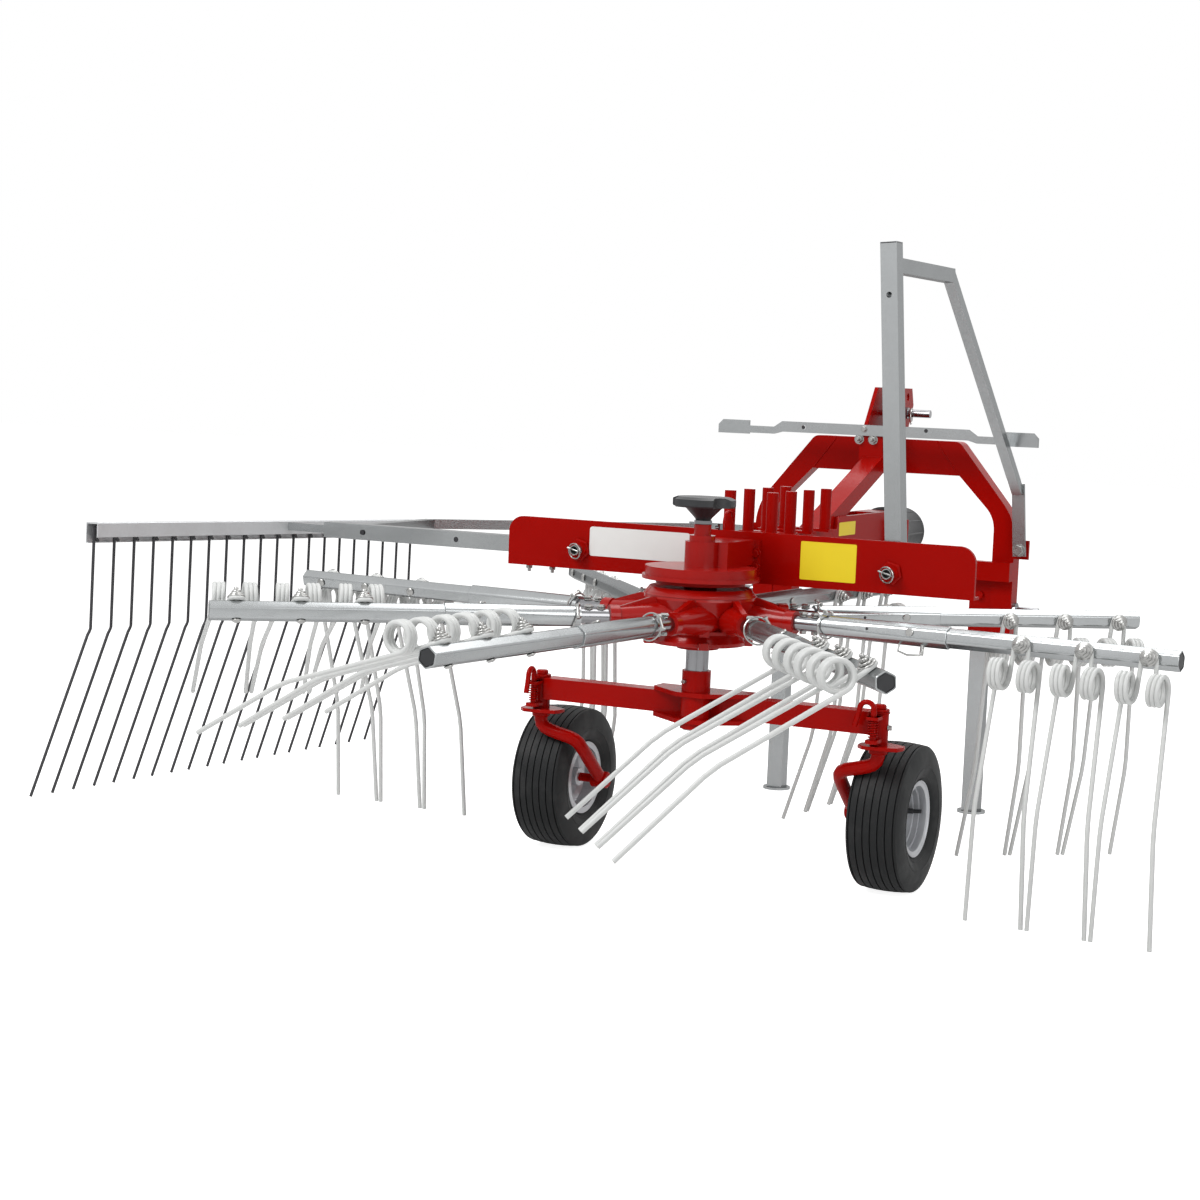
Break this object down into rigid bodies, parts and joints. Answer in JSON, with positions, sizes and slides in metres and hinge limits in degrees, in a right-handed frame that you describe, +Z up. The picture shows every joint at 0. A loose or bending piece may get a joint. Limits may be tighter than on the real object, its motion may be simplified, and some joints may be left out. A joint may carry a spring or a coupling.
{
  "type": "rotary hay rake",
  "caption": "Mounted rotary hay rake: tined arms turn on a hub under a beam with a three-point headstock, folding guards, a swath curtain, castor wheels and parking stands.",
  "frame": {"origin": "middle of the footprint, on the floor", "axes": "+X to the machine's right, +Y forward to the tractor, +Z up"},
  "size_m": [2.8856, 2.9978, 1.7375],
  "materials": {
    "black_plastic": "matt",
    "black_steel": "satin",
    "bright_steel": "polished",
    "galvanised": "spangled zinc",
    "red_paint": "gloss",
    "rim_silver": "satin",
    "rubber": "matt",
    "tine_paint": "satin"
  },
  "bodies": {
    "frame": {"main_beam": "red_paint", "gearbox_head": "red_paint", "centre_tube": "red_paint", "cam_cover": "red_paint", "handwheel": "black_plastic", "cross_plate": "red_paint", "storage_pegs": "red_paint", "headstock_arch": "red_paint", "brace": "red_paint", "top_link_clevis": "red_paint", "top_link_pin": "bright_steel", "lower_link_pins": "bright_steel", "transport_strip": "galvanised", "pto_guard": "black_plastic", "stand_sockets": "red_paint"},
    "rotor": {"rotor_hub": "red_paint", "arm_stubs": "bright_steel", "tine_arms": "galvanised", "tines_1": "tine_paint", "tines_2": "tine_paint", "tines_3": "tine_paint", "tines_4": "tine_paint", "tines_5": "tine_paint", "tines_6": "tine_paint", "tines_7": "tine_paint", "tines_8": "tine_paint"},
    "pto": {"pto_shaft": "bright_steel"},
    "axle": {"column": "bright_steel", "axle_beam": "red_paint"},
    "castor_left": {"castor_left": "red_paint"},
    "castor_right": {"castor_right": "red_paint"},
    "wheel_left": {"rim_left": "rim_silver", "tyre_left": "rubber"},
    "wheel_right": {"rim_right": "rim_silver", "tyre_right": "rubber"},
    "guard_left": {"guard_left": "galvanised"},
    "guard_right": {"guard_right": "galvanised"},
    "curtain": {"curtain_arm": "galvanised", "curtain_bar": "galvanised", "curtain_rods": "black_steel"},
    "stand_left": {"stand_left": "galvanised"},
    "stand_right": {"stand_right": "galvanised"}
  },
  "joints": [
    {"name": "rotor_spin", "type": "hinge", "parent": "frame", "child": "rotor", "pos_m": [0.14113, -0.14911, 0.724], "axis": [0, 0, 1], "continuous": true},
    {"name": "pto_spin", "type": "hinge", "parent": "frame", "child": "pto", "pos_m": [0.14113, 1.33089, 0.882], "axis": [0, 1, 0], "continuous": true},
    {"name": "axle_height", "type": "slide", "parent": "frame", "child": "axle", "axis": [0, 0, 1], "range_m": [-0.06, 0.05]},
    {"name": "castor_left_swivel", "type": "hinge", "parent": "axle", "child": "castor_left", "pos_m": [-0.35887, -0.08411, 0.477], "axis": [0, 0, 1], "range_deg": [-220, 25]},
    {"name": "wheel_left_spin", "type": "hinge", "parent": "castor_left", "child": "wheel_left", "pos_m": [-0.35887, 0.08089, 0.203], "axis": [1, 0, 0], "continuous": true},
    {"name": "stand_left_slide", "type": "slide", "parent": "frame", "child": "stand_left", "axis": [0, 0, 1], "range_m": [-0.05, 0.22]},
    {"name": "castor_right_swivel", "type": "hinge", "parent": "axle", "child": "castor_right", "pos_m": [0.64113, -0.08411, 0.477], "axis": [0, 0, 1], "range_deg": [-25, 220]},
    {"name": "wheel_right_spin", "type": "hinge", "parent": "castor_right", "child": "wheel_right", "pos_m": [0.64113, 0.08089, 0.203], "axis": [1, 0, 0], "continuous": true},
    {"name": "stand_right_slide", "type": "slide", "parent": "frame", "child": "stand_right", "axis": [0, 0, 1], "range_m": [-0.05, 0.22]},
    {"name": "guard_left_fold", "type": "hinge", "parent": "frame", "child": "guard_left", "pos_m": [-0.32287, 0.09489, 0.86], "axis": [0, 1, 0], "range_deg": [0, 90]},
    {"name": "guard_right_fold", "type": "hinge", "parent": "frame", "child": "guard_right", "pos_m": [0.60513, 0.09489, 0.86], "axis": [0, 1, 0], "range_deg": [0, 94]},
    {"name": "curtain_slide", "type": "slide", "parent": "guard_left", "child": "curtain", "axis": [-1, 0, 0], "range_m": [0, 0.3]}
  ],
  "couplings": [
    {"joint": "pto_spin", "follows": "rotor_spin", "ratio": 8}
  ]
}
